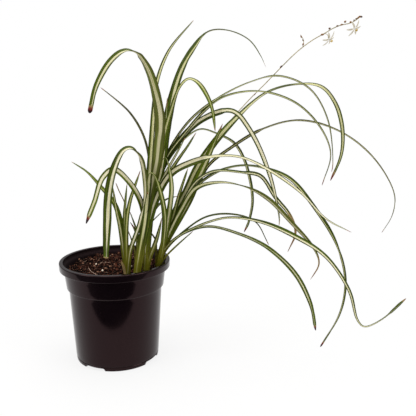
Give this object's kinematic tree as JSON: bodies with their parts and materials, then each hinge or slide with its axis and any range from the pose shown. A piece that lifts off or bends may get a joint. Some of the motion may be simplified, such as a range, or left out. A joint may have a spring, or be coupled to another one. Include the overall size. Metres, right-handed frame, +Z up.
{
  "type": "potted spider plant",
  "caption": "Variegated spider plant in a round black nursery pot: long arching strap leaves, potting mix, and one slender flower stalk with small white flowers.",
  "frame": {"origin": "centre of the pad under the pot, on the floor", "axes": "+Z up; +Y away from the viewer, so that the long leaves arch towards +X"},
  "size_m": [0.4222, 0.161, 0.403],
  "materials": {
    "pot": "slightly glossy black plastic",
    "potting_mix": "coarse dark red-brown peat",
    "leaf_green": "satin living leaf, mostly green",
    "leaf_cream": "satin living leaf, cream stripe and green edges",
    "leaf_dry": "dull, dried or thin tan leaf",
    "flower_stalk": "dull pale tan stalk with brown bracts",
    "petals": "soft cream white",
    "stamens": "powdery yellow"
  },
  "bodies": {
    "root": {"flower_1_petal_1": "petals", "flower_1_petal_2": "petals", "flower_1_petal_3": "petals", "flower_1_petal_4": "petals", "flower_1_petal_5": "petals", "flower_1_petal_6": "petals", "flower_1_stamens": "stamens", "flower_2_petal_1": "petals", "flower_2_petal_2": "petals", "flower_2_petal_3": "petals", "flower_2_petal_4": "petals", "flower_2_petal_5": "petals", "flower_2_petal_6": "petals", "flower_2_stamens": "stamens", "flower_stalk": "flower_stalk", "leaf_a1_blunt_arch": "leaf_cream", "leaf_a2_behind": "leaf_green", "leaf_a3_right": "leaf_green", "leaf_a4_upright": "leaf_green", "leaf_a5_left": "leaf_green", "leaf_a6_dry": "leaf_dry", "leaf_a7_sheath": "leaf_dry", "leaf_b10_olive": "leaf_dry", "leaf_b1_cream_left": "leaf_cream", "leaf_b2_slender_top": "leaf_cream", "leaf_b3_tall_left_arch": "leaf_cream", "leaf_b4_small_arch": "leaf_cream", "leaf_b5_short_right": "leaf_green", "leaf_b6_short_cream": "leaf_cream", "leaf_b7_pale_point": "leaf_cream", "leaf_b8_dark_tip": "leaf_green", "leaf_b9_left": "leaf_green", "leaf_c10_dark_right": "leaf_green", "leaf_c11_olive": "leaf_green", "leaf_c12_cream_right": "leaf_cream", "leaf_c1_tall_right_arch": "leaf_green", "leaf_c2_thin_left": "leaf_dry", "leaf_c3_long_tan": "leaf_dry", "leaf_c4_long_olive": "leaf_green", "leaf_c5_wide_arch": "leaf_cream", "leaf_c6_kinked_arch": "leaf_green", "leaf_c7_dark_short": "leaf_green", "leaf_c8_sprout": "leaf_green", "leaf_c9_dead": "leaf_dry", "leaf_d10_front_arch": "leaf_green", "leaf_d11_olive_short": "leaf_dry", "leaf_d12_folded_tip": "leaf_green", "leaf_d13_upright": "leaf_cream", "leaf_d14_thin_left": "leaf_green", "leaf_d1_cream_long_arch": "leaf_cream", "leaf_d2_green_upright": "leaf_green", "leaf_d3_short": "leaf_green", "leaf_d4_long_thin": "leaf_green", "leaf_d5_dark_arch": "leaf_green", "leaf_d6_long_low": "leaf_cream", "leaf_d7_thin_low": "leaf_green", "leaf_d8_rusty_bend": "leaf_dry", "leaf_d9_tan_underside": "leaf_cream", "pot": "pot", "soil": "potting_mix"}
  },
  "joints": []
}
